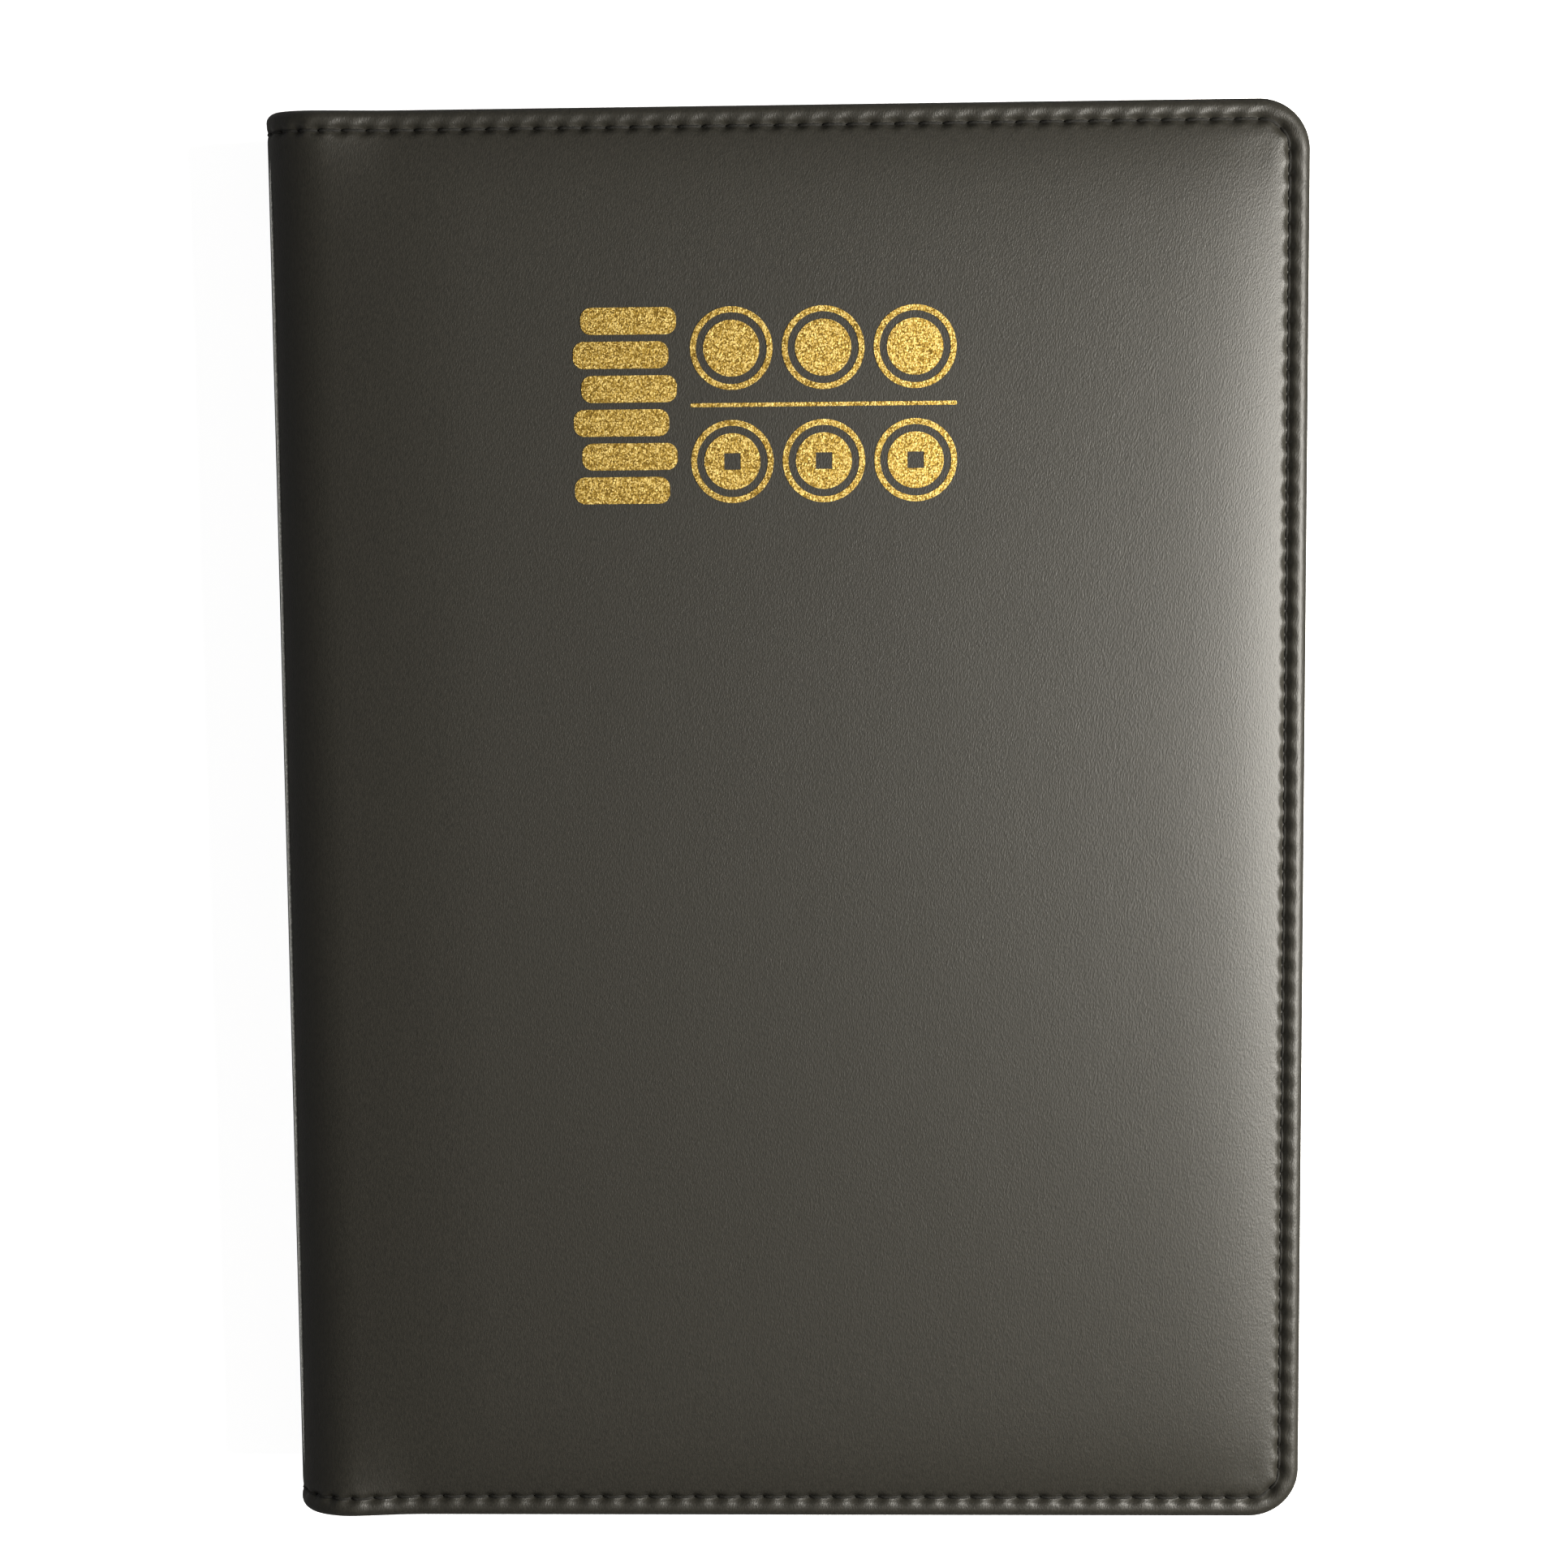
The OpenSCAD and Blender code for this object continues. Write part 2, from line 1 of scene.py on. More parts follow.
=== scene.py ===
"""A padded, stitched coin album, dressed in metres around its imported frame.

The skin of each cover is worked out on a flat pattern: s runs along the skin from the
middle of the spine, round the bend, to the fore edge, and y runs from tail to head.
Loops of the pattern follow its edge at a constant inset, and the middle is a grid.
"""
import math

import bpy
import numpy as np
from mathutils import Matrix, Vector


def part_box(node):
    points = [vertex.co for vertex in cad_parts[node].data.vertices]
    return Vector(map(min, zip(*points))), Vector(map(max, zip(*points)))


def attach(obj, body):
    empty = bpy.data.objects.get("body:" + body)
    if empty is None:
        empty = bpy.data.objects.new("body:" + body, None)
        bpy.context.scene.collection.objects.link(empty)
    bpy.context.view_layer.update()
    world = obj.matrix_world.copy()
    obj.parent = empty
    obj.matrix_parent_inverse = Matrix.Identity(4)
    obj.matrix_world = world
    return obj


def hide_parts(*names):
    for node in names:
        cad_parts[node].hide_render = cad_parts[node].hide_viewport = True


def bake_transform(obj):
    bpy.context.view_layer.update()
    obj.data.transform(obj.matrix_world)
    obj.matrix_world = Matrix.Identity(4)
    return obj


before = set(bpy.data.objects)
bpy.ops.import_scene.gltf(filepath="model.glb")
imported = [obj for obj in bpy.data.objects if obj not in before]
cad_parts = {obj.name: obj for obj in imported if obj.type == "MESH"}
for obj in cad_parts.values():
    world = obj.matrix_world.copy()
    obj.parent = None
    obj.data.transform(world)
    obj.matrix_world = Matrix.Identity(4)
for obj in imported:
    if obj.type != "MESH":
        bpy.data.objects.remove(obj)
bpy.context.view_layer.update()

MM = 0.001

# ---------------------------------------------------------------- sizes from the frame
COVER_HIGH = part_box("front_leatherette")[1]
SPINE_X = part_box("spine_leatherette")[0].x
FORE_X = COVER_HIGH.x
HALF_H = COVER_HIGH.y
TOP_Z = COVER_HIGH.z
MID_Z = TOP_Z / 2
BOARD_TOP_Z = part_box("front_board")[1].z
INNER_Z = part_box("front_lining")[0].z
MECH_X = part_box("spine_lining")[1].x
SKIN_T = 0.8 * MM
BEND_R = 13 * MM
BEND_X = SPINE_X + BEND_R
BEND_Z = TOP_Z - BEND_R
RIM_LIFT = 0.6 * MM
PAD_DROP = TOP_Z - BOARD_TOP_Z - SKIN_T - RIM_LIFT
SPINE_DROP = 0.6 * MM
LINING_SINK = 1.3 * MM
RIM_T = BOARD_TOP_Z + SKIN_T + RIM_LIFT - INNER_Z
SPINE_RUN = BEND_Z - MID_Z
BEND_RUN = BEND_R * math.pi / 2
COVER_START = SPINE_RUN + BEND_RUN
PATTERN_W = COVER_START + FORE_X - BEND_X

# ---------------------------------------------------------------- the skin's relief
CORNER_R = 9 * MM
SEAM_INSET = 3.6 * MM
STITCHES = 150
COLUMNS_PER_STITCH = 12
TURN_IN = 1.6 * MM
EDGE_TOP_R = 1.5 * MM
EDGE_LOW_R = 0.8 * MM
PAD_ROLL = 7.5 * MM
DROP_LEAD, DROP_EASE = 4 * MM, 16 * MM
BEAD_INSET, BEAD_W, BEAD_H = 1.5 * MM, 1.5 * MM, 0.27 * MM
GROOVE_W, GROOVE_DEPTH = 0.6 * MM, 0.5 * MM
HOLE_W, HOLE_LEN, HOLE_DEPTH = 0.8 * MM, 1.2 * MM, 0.55 * MM
PUCKER_RIM_W, PUCKER_PAD_W, PUCKER_H, PUCKER_LEAN = 1.8 * MM, 1.0 * MM, 0.14 * MM, 0.45
BEND_RELIEF = 0.35
CORNER_EASE = 6 * MM
CROWN_DROP, CROWN_RUN = 1.7 * MM, 26 * MM
FLARE, FLARE_RUN = 0.5 * MM, 22 * MM


def smooth_step(t):
    t = np.clip(t, 0, 1)
    return t * t * (3 - 2 * t)


def bend_angle(s):
    return np.clip((s - SPINE_RUN) / BEND_R, 0, math.pi / 2)


def outer_curve(s):
    """X and Z of the outermost face at s, and its outward normal."""
    a = bend_angle(s)
    flat = np.maximum(s - COVER_START, 0)
    nx, nz = -np.cos(a), np.sin(a)
    return BEND_X + BEND_R * nx + flat, MID_Z + np.minimum(s, SPINE_RUN) + BEND_R * nz, nx, nz


def inner_curve(s):
    """X and Z of the lining's face at s, which sinks into the bend, clear of the leaves."""
    a = bend_angle(s)
    flat = np.maximum(s - COVER_START, 0)
    sink = LINING_SINK * np.sin(2 * a) ** 2
    x = BEND_X - (BEND_X - MECH_X + sink) * np.cos(a) + flat
    return x, MID_Z + np.minimum(s, SPINE_RUN) + (INNER_Z - BEND_Z + sink) * np.sin(a)


def pad_drop(s):
    """Depth of the rim below the padding's top."""
    return SPINE_DROP + (PAD_DROP - SPINE_DROP) * smooth_step((s - COVER_START + DROP_LEAD) / DROP_EASE)


def bell(x, width):
    return np.exp(-((x / width) ** 2))


def relief(s, d, q):
    """Depth below the rim of the bead, groove, stitch holes and puckers, with q along the seam."""
    step = q / STITCH_PITCH
    from_hole = (step - np.round(step)) * STITCH_PITCH
    past = d - SEAM_INSET
    groove = GROOVE_DEPTH * bell(past, GROOVE_W)
    hole = HOLE_DEPTH * bell(past, HOLE_W) * bell(from_hole, HOLE_LEN)
    wave = np.cos(2 * math.pi * (step + PUCKER_LEAN * past / STITCH_PITCH))
    pucker = PUCKER_H * bell(past, np.where(past < 0, PUCKER_RIM_W, PUCKER_PAD_W)) * wave
    share = BEND_RELIEF + (1 - BEND_RELIEF) * smooth_step(bend_angle(s) / (math.pi / 2))
    return share * (groove + hole + pucker - BEAD_H * bell(d - BEAD_INSET, BEAD_W))


def crown_drop(s):
    """Depth by which the padding's top falls away towards the bend and over the spine."""
    on_cover = np.clip(1 - (s - COVER_START) / CROWN_RUN, 0, 1) ** 2
    u, slope = np.minimum(s / COVER_START, 1), -2 * COVER_START / CROWN_RUN
    on_bend = (3 - slope) * u ** 2 + (slope - 2) * u ** 3
    return CROWN_DROP * np.where(s > COVER_START, on_cover, on_bend)


def flared(s, y):
    """y on the skin: the ends of the spine stand out a little past the covers."""
    near_spine = smooth_step((COVER_START - s) / BEND_RUN)
    near_end = smooth_step((np.abs(y) - HALF_H + FLARE_RUN) / FLARE_RUN)
    return y + np.sign(y) * FLARE * near_spine * near_end


def pad_fall(s, y, d):
    """How far the padding has fallen to the rim: 1 at the seam, 0 in the middle, round at corners."""
    def risen(run):
        return 1 - np.exp(-np.maximum(run - SEAM_INSET, 0) / PAD_ROLL)
    near = 1 - risen(d)
    far = 1 - risen(PATTERN_W - s) * risen(HALF_H - np.abs(y))
    return near + (far - near) * smooth_step((d - SEAM_INSET) / CORNER_EASE)


def pad_depth(s, y, d):
    """Depth of the padded skin below the outermost face, at inset d from the pattern's edge."""
    fall = pad_fall(s, y, d)
    return pad_drop(s) * fall + crown_drop(s) * (1 - fall)


def on_skin(s, y, d, q, lift=0.0):
    """Points on the skin, lifted off it along its normal."""
    x, z, nx, nz = outer_curve(s)
    depth = pad_depth(s, y, d) + relief(s, d, q) - lift
    return np.stack([x - nx * depth, flared(s, y), z - nz * depth], -1)


def on_edge(s, y, inset, drop, q):
    """Points on the wrapped edge, a drop below the rim, towards the lining's face."""
    x, z, nx, nz = outer_curve(s)
    depth = pad_drop(s) + relief(s, inset, q) * max(0.0, 1 - drop / EDGE_TOP_R)
    rim_x, rim_z = x - nx * depth, z - nz * depth
    inner_x, inner_z = inner_curve(s)
    w = drop / RIM_T
    return np.stack([rim_x + (inner_x - rim_x) * w, flared(s, y), rim_z + (inner_z - rim_z) * w], -1)


# ---------------------------------------------------------------- the flat pattern
LONG_RUN = PATTERN_W - CORNER_R
CORNER_RUN = math.pi / 2 * (CORNER_R - SEAM_INSET)
FORE_RUN = 2 * (HALF_H - CORNER_R)
SEAM_RUN = 2 * (LONG_RUN + CORNER_RUN) + FORE_RUN
STITCH_PITCH = SEAM_RUN / STITCHES
MIN_CORNER_R = 1.2 * MM
FIXED_S = 60 * MM


def loop_point(q, d):
    """s and y on the loop at inset d: q runs along the seam from head to tail."""
    q = np.asarray(q, float)
    r = max(CORNER_R - d, MIN_CORNER_R)
    corner_s, corner_y = PATTERN_W - d - r, HALF_H - d - r
    q_half = np.where(q > SEAM_RUN / 2, SEAM_RUN - q, q)
    stretch = (corner_s - FIXED_S) / (LONG_RUN - FIXED_S)
    s_long = np.where(q_half < FIXED_S, q_half, FIXED_S + (q_half - FIXED_S) * stretch)
    turn = np.clip((q_half - LONG_RUN) / CORNER_RUN, 0, 1) * math.pi / 2
    run = np.clip((q_half - LONG_RUN - CORNER_RUN) / (FORE_RUN / 2), 0, 1)
    s = np.where(q_half < LONG_RUN, s_long, corner_s + r * np.sin(turn))
    y = corner_y * (1 - run) + r * np.cos(turn)
    return s, np.where(q > SEAM_RUN / 2, -y, y)


def coons(top, right, bottom, left):
    """Grid of pattern points between four boundary lines: top and bottom run along s."""
    n, m = len(top), len(left)
    u = np.linspace(0, 1, n)[None, :, None]
    v = np.linspace(0, 1, m)[:, None, None]
    across = (1 - v) * top[None] + v * bottom[None]
    down = (1 - u) * left[:, None] + u * right[:, None]
    corners = ((1 - u) * (1 - v) * top[0] + u * (1 - v) * top[-1]
               + (1 - u) * v * bottom[0] + u * v * bottom[-1])
    return across + down - corners


def edge_distance(s, y):
    """Inset of pattern points from the rounded edge."""
    ds, dy = PATTERN_W - s, HALF_H - np.abs(y)
    corner = CORNER_R - np.hypot(CORNER_R - ds, CORNER_R - dy)
    in_corner = (ds < CORNER_R) & (dy < CORNER_R)
    return np.where(in_corner, corner, np.minimum(ds, dy))


# ---------------------------------------------------------------- mesh helpers
def placed(name, data):
    """A new object in the scene around a mesh, a lamp or a camera."""
    made = bpy.data.objects.new(name, data)
    bpy.context.scene.collection.objects.link(made)
    return made


class Builder:
    """Collects points and faces for one piece."""

    def __init__(self):
        self.points, self.faces = [], []

    def add(self, points):
        first = len(self.points)
        self.points.extend(np.asarray(points, float).reshape(-1, 3))
        return np.arange(first, len(self.points))

    def strip(self, a, b, closed=False):
        """Quads between two rows of equal length, or five-sided faces where b has half of a."""
        if len(a) == len(b):
            pairs = range(len(a) if closed else len(a) - 1)
            n = len(a)
            self.faces += [(a[i], a[(i + 1) % n], b[(i + 1) % n], b[i]) for i in pairs]
        else:
            self.faces += [(a[2 * i], a[2 * i + 1], a[2 * i + 2], b[i + 1], b[i])
                           for i in range(len(b) - 1)]

    def grid(self, rows, closed=False):
        for a, b in zip(rows, rows[1:]):
            self.strip(a, b, closed)

    def cap(self, row, flip=False):
        self.faces.append(tuple(reversed(row)) if flip else tuple(row))

    def piece(self, name, material, smooth=True):
        mesh = bpy.data.meshes.new(name)
        faces = [tuple(int(i) for i in face) for face in self.faces]
        mesh.from_pydata([tuple(p) for p in self.points], [], faces)
        mesh.validate()
        mesh.update()
        mesh.shade_smooth() if smooth else mesh.shade_flat()
        mesh.materials.append(material)
        return placed(name, mesh)


def mirrored_piece(source, name):
    """A copy of a front piece, mirrored into the back cover."""
    mesh = source.data.copy()
    mesh.name = name
    mesh.transform(Matrix.Translation((0, 0, TOP_Z)) @ Matrix.Diagonal((1, 1, -1, 1)))
    mesh.flip_normals()
    return placed(name, mesh)


# ---------------------------------------------------------------- material helpers
class Nodes:
    """Short calls for building one material's node tree."""

    def __init__(self, name):
        self.material = bpy.data.materials.new(name)
        self.material.use_nodes = True
        self.tree = self.material.node_tree
        self.shader = self.tree.nodes["Principled BSDF"]
        self.place = self.tree.nodes.new("ShaderNodeTexCoord").outputs["Object"]

    def set(self, **values):
        for key, value in values.items():
            self.shader.inputs[key.replace("_", " ")].default_value = value

    def link(self, a, b):
        self.tree.links.new(a, b)

    def node(self, kind, inputs=None, **settings):
        made = self.tree.nodes.new("ShaderNode" + kind)
        for key, value in settings.items():
            setattr(made, key, value)
        for key, value in (inputs or {}).items():
            socket = made.inputs[key]
            if isinstance(value, bpy.types.NodeSocket):
                self.link(value, socket)
            else:
                socket.default_value = value
        return made

    def scaled(self, scale, lean=0.0):
        """Object coordinates, turned about Z by a lean in degrees and then scaled."""
        turn = {"Vector": self.place, "Rotation": (0, 0, math.radians(lean))}
        turned = self.node("Mapping", turn).outputs[0]
        return self.node("Mapping", {"Vector": turned, "Scale": scale}).outputs[0]

    def grain(self):
        """Cells of the leatherette's grain: long, fine and leaning a little."""
        warp = self.noise(self.scaled(GRAIN_WARP_SCALE), detail=1.0)
        shift = self.node("CombineXYZ", {"X": warp, "Y": warp}).outputs[0]
        lengthwise = self.scaled(GRAIN_SCALE, GRAIN_LEAN)
        warped = self.node("VectorMath", {0: lengthwise, 1: shift}, operation="ADD").outputs[0]
        return self.cells(warped, feature="SMOOTH_F1")

    def noise(self, vector, detail, roughness=0.5):
        inputs = {"Vector": vector, "Scale": 1.0, "Detail": detail, "Roughness": roughness}
        return self.node("TexNoise", inputs).outputs["Fac"]

    def cells(self, vector, feature="F1", output="Distance"):
        inputs = {"Vector": vector, "Scale": 1.0}
        return self.node("TexVoronoi", inputs, feature=feature).outputs[output]

    def ramp(self, value, stops):
        made = self.node("ValToRGB", {"Fac": value})
        ramp = made.color_ramp
        while len(ramp.elements) < len(stops):
            ramp.elements.new(0.5)
        for element, (at, color) in zip(ramp.elements, stops):
            element.position, element.color = at, (*color, 1)
        return made.outputs["Color"]

    def spread(self, value, low, high):
        inputs = {"Value": value, "To Min": low, "To Max": high}
        return self.node("MapRange", inputs).outputs["Result"]

    def bumps(self, *layers):
        """Stacks bumps: each layer is a height, its strength and its depth in metres."""
        normal = None
        for height, strength, depth in layers:
            inputs = {"Height": height, "Strength": strength, "Distance": depth}
            if normal is not None:
                inputs["Normal"] = normal
            normal = self.node("Bump", inputs).outputs["Normal"]
        self.link(normal, self.shader.inputs["Normal"])

    def finish(self, tint, stops, wear, rough, *bumps, **settings):
        """Colours the surface by tint, roughens it by wear from one value to another, and bumps it."""
        self.link(self.ramp(tint, stops), self.shader.inputs["Base Color"])
        self.link(self.spread(wear, *rough), self.shader.inputs["Roughness"])
        self.bumps(*bumps)
        self.set(**settings)
        return self.material


# ---------------------------------------------------------------- materials
# Scales are in cells per metre along X, Y and Z.
GRAIN_SCALE, GRAIN_LEAN = (4600, 2000, 4600), 9
GRAIN_WARP_SCALE = (1500, 800, 1500)


def leatherette():
    n = Nodes("leatherette")
    cells = n.grain()
    fine = n.noise(n.scaled((9000, 6000, 9000)), detail=2.0)
    broad = n.noise(n.scaled((70, 50, 70)), detail=3.0)
    tint = n.noise(n.scaled((2600, 1300, 2600), GRAIN_LEAN), detail=2.0)
    return n.finish(
        tint, [(0.3, (0.015, 0.014, 0.0105)), (0.7, (0.024, 0.022, 0.017))], fine, (0.40, 0.52),
        (broad, 0.15, 0.5 * MM), (cells, 0.5, 0.075 * MM), (fine, 0.3, 0.03 * MM),
        Specular_IOR_Level=0.55)


def thread():
    n = Nodes("thread")
    twist = n.noise(n.scaled((3000, 3000, 3000)), detail=2.0)
    return n.finish(
        twist, [(0.3, (0.008, 0.008, 0.007)), (0.7, (0.022, 0.021, 0.019))], twist, (0.7, 0.9),
        (twist, 0.5, 0.08 * MM), Specular_IOR_Level=0.2)


def lining():
    n = Nodes("lining")
    cells = n.cells(n.scaled((1500, 1500, 1500)), feature="SMOOTH_F1")
    broad = n.noise(n.scaled((120, 120, 120)), detail=2.0)
    return n.finish(
        broad, [(0.3, (0.014, 0.014, 0.015)), (0.7, (0.022, 0.022, 0.023))], cells, (0.42, 0.58),
        (cells, 0.4, 0.1 * MM))


def gold_foil():
    n = Nodes("gold_foil")
    flakes = n.cells(n.scaled((4200, 4200, 4200)), output="Color")
    flake = n.node("SeparateColor", {"Color": flakes}).outputs["Red"]
    golds = [(0.1, (0.34, 0.20, 0.035)), (0.55, (0.60, 0.38, 0.07)), (0.97, (0.95, 0.72, 0.26))]
    return n.finish(
        flake, golds, flake, (0.30, 0.50),
        (n.grain(), 0.35, 0.12 * MM), (flake, 0.3, 0.03 * MM), Metallic=0.85)


def greyboard():
    n = Nodes("greyboard")
    fibre = n.noise(n.scaled((400, 900, 3000)), detail=4.0, roughness=0.65)
    return n.finish(
        fibre, [(0.3, (0.24, 0.22, 0.19)), (0.7, (0.42, 0.39, 0.34))], fibre, (0.8, 0.95),
        (fibre, 0.4, 0.1 * MM))


def foam():
    n = Nodes("foam")
    cells = n.cells(n.scaled((1800, 1800, 1800)))
    return n.finish(
        cells, [(0.1, (0.60, 0.60, 0.57)), (0.6, (0.34, 0.34, 0.32))], cells, (0.85, 1.0),
        (cells, 0.8, 0.3 * MM))


def steel():
    n = Nodes("nickelled_steel")
    drawn = n.noise(n.scaled((300, 40, 300)), detail=3.0)
    haze = n.noise(n.scaled((150, 150, 150)), detail=3.0)
    return n.finish(
        haze, [(0.3, (0.58, 0.57, 0.55)), (0.7, (0.70, 0.69, 0.67))], haze, (0.12, 0.24),
        (drawn, 0.08, 0.02 * MM), Metallic=1.0)


def film(name, weight, rough):
    """Clear soft film: weight is how much shows of the film itself."""
    n = Nodes(name)
    ripple = n.noise(n.scaled((90, 60, 90)), detail=2.0)
    fine = n.noise(n.scaled((1500, 1500, 1500)), detail=1.0)
    return n.finish(
        ripple, [(0.3, (0.60, 0.64, 0.67)), (0.7, (0.72, 0.75, 0.77))], fine, rough,
        (ripple, 0.25, 0.4 * MM), (fine, 0.08, 0.03 * MM), Alpha=weight, IOR=1.5)


LEATHERETTE, THREAD, LINING = leatherette(), thread(), lining()
GOLD, BOARD, FOAM, STEEL = gold_foil(), greyboard(), foam(), steel()
FILM, WELD = film("clear_film", 0.13, (0.08, 0.2)), film("weld", 0.32, (0.3, 0.5))


# ---------------------------------------------------------------- covers
# Inset and drop of the rows where the skin is turned in and tucked under the lining.
TUCKED_ROWS = [(TURN_IN + 0.5 * MM, RIM_T - 0.3 * MM), (TURN_IN + 0.1 * MM, RIM_T - 0.25 * MM),
               (TURN_IN - 0.1 * MM, RIM_T), (TURN_IN - 0.5 * MM, RIM_T)]


def edge_rows():
    """Inset and drop below the rim of each row round the wrapped edge, from the lining up."""
    rows = list(TUCKED_ROWS)
    for a in np.radians([90, 60, 30, 0]):
        rows.append((EDGE_LOW_R * (1 - math.cos(a)), RIM_T - EDGE_LOW_R * (1 - math.sin(a))))
    for a in np.radians([0, 18, 36, 54, 72]):
        rows.append((EDGE_TOP_R * (1 - math.cos(a)), EDGE_TOP_R * (1 - math.sin(a))))
    return rows


SEAM_ZONE, ROW_STEP = 6.6 * MM, 0.3 * MM
# Insets of the rows past the seam zone: each group has half of the columns of the one before.
WIDER_ROWS = (np.array([7.2, 8.2, 9.4, 10.8]) * MM, np.array([12.4, 14.4, 17, 20]) * MM)


def grid_split(columns):
    """Index of the column nearest the corner's middle."""
    return round((LONG_RUN + CORNER_RUN / 2) / SEAM_RUN * columns)


def skin_piece(name):
    """The outside of one cover, its bend and half of the spine, with its edge turned in."""
    columns = STITCHES * COLUMNS_PER_STITCH
    b, rows = Builder(), []
    q = np.linspace(0, SEAM_RUN, columns + 1)
    for inset, drop in edge_rows():
        rows.append(b.add(on_edge(*loop_point(q, inset), inset, drop, q)))
    for inset in np.arange(EDGE_TOP_R, SEAM_ZONE, ROW_STEP):
        s, y = loop_point(q, inset)
        rows.append(b.add(on_skin(s, y, np.full_like(q, inset), q)))
    for insets in WIDER_ROWS:
        q = q[::2]
        for inset in insets:
            s, y = loop_point(q, inset)
            rows.append(b.add(on_skin(s, y, np.full_like(q, inset), q * 0)))
    b.grid(rows)
    last, ids = np.stack(loop_point(q, WIDER_ROWS[-1][-1]), -1), rows[-1]
    corner = grid_split(len(q) - 1)
    count = len(q) - 1 - 2 * corner
    top, bottom = last[:corner + 1], last[::-1][:corner + 1]
    right = last[corner:corner + count + 1]
    left = np.stack([np.zeros(count + 1), np.linspace(top[0, 1], bottom[0, 1], count + 1)], -1)
    inner = coons(top, right, bottom, left)[1:-1, :-1]
    points = on_skin(inner[..., 0], inner[..., 1], edge_distance(inner[..., 0], inner[..., 1]), 0)
    made = b.add(points).reshape(inner.shape[:2])
    middle = [np.append(made[j], ids[corner + 1 + j]) for j in range(count - 1)]
    b.grid([ids[:corner + 1], *middle, ids[::-1][:corner + 1]])
    return b.piece(name, LEATHERETTE)


THREAD_R, THREAD_SINK = 0.3 * MM, 0.12 * MM
THREAD_SIDES, THREAD_RINGS = 8, 9


def thread_piece(name):
    """Every stitch of one seam: a short tube that dives into a hole at each end."""
    b = Builder()
    t = np.linspace(0.0, 1.0, THREAD_RINGS)
    arch = np.sin(math.pi * t)
    for i in range(STITCHES):
        q = (i + t) * STITCH_PITCH
        s, y = loop_point(q, SEAM_INSET)
        flat = np.full_like(q, SEAM_INSET)
        line = on_skin(s, y, flat, np.full_like(q, STITCH_PITCH / 2), -THREAD_SINK)
        low = on_skin(s, y, flat, q, -THREAD_R)
        line = low + (line - low) * arch[:, None]
        s_in, y_in = loop_point(q, SEAM_INSET + MM)
        side = on_skin(s_in, y_in, flat, q * 0) - on_skin(s, y, flat, q * 0)
        side /= np.linalg.norm(side, axis=1)[:, None]
        along = np.gradient(line, axis=0)
        up = np.cross(side, along)
        up /= np.linalg.norm(up, axis=1)[:, None]
        rings = []
        for a in np.linspace(0, 2 * math.pi, THREAD_SIDES, endpoint=False):
            rings.append(line + THREAD_R * (side * math.cos(a) + up * math.sin(a)))
        tube = [b.add(ring) for ring in np.stack(rings, 1)]
        b.grid(tube, closed=True)
        b.cap(tube[0], flip=True)
        b.cap(tube[-1])
    return b.piece(name, THREAD)


SHARP_ANGLE = math.radians(40)


def slab_piece(name, material, inset, start, step, face_a, face_b):
    """A thin closed piece between two faces over the pattern, from start to the fore edge."""
    columns = 4 * round(SEAM_RUN / step / 4)
    q = np.linspace(0, SEAM_RUN, columns + 1)
    inside = (q >= start) & (q <= SEAM_RUN - start)
    line = np.stack(loop_point(q[inside], inset), -1)
    corner = int(np.argmax(q[inside] >= LONG_RUN + CORNER_RUN / 2))
    count = len(line) - 1 - 2 * corner
    top, bottom = line[:corner + 1], line[::-1][:corner + 1]
    right = line[corner:corner + count + 1]
    left_s = np.full(count + 1, top[0, 0])
    left = np.stack([left_s, np.linspace(top[0, 1], bottom[0, 1], count + 1)], -1)
    pattern = coons(top, right, bottom, left)
    b = Builder()
    a = b.add(face_a(pattern[..., 0], pattern[..., 1])).reshape(pattern.shape[:2])
    c = b.add(face_b(pattern[..., 0], pattern[..., 1])).reshape(pattern.shape[:2])
    b.grid(list(a))
    b.grid([row[::-1] for row in c])
    rim_a = np.concatenate([a[0], a[1:, -1], a[-1, -2::-1], a[-2:0:-1, 0]])
    rim_c = np.concatenate([c[0], c[1:, -1], c[-1, -2::-1], c[-2:0:-1, 0]])
    b.strip(rim_c, rim_a, closed=True)
    piece = b.piece(name, material)
    piece.data.set_sharp_from_angle(angle=SHARP_ANGLE)
    return piece


LINING_T, LINING_STEP = 0.35 * MM, 1.6 * MM
FOAM_INSET, FOAM_START, FOAM_STEP = 5.4 * MM, COVER_START + 0.5 * MM, 4 * MM


def lining_piece(name):
    """The lining of one cover, its hinge and half of the spine."""
    def face(depth):
        def at(s, y):
            x, z = inner_curve(s)
            a = bend_angle(s)
            return np.stack([x - np.cos(a) * depth, flared(s, y), z + np.sin(a) * depth], -1)
        return at
    return slab_piece(name, LINING, TURN_IN, 0.0, LINING_STEP, face(LINING_T), face(0.0))


def foam_piece(name):
    """The crowned foam pad of one cover, flat on its board."""
    def top(s, y):
        depth = np.minimum(pad_depth(s, y, edge_distance(s, y)) + SKIN_T, PAD_DROP + SKIN_T)
        x, z, nx, nz = outer_curve(s)
        return np.stack([x - nx * depth, y, z - nz * depth], -1)

    def bottom(s, y):
        return np.stack([outer_curve(s)[0], y, np.full_like(s, BOARD_TOP_Z)], -1)
    return slab_piece(name, FOAM, FOAM_INSET, FOAM_START, FOAM_STEP, top, bottom)


# The crease is in the middle of each bend.
CREASE = BEND_R * math.cos(math.radians(45))


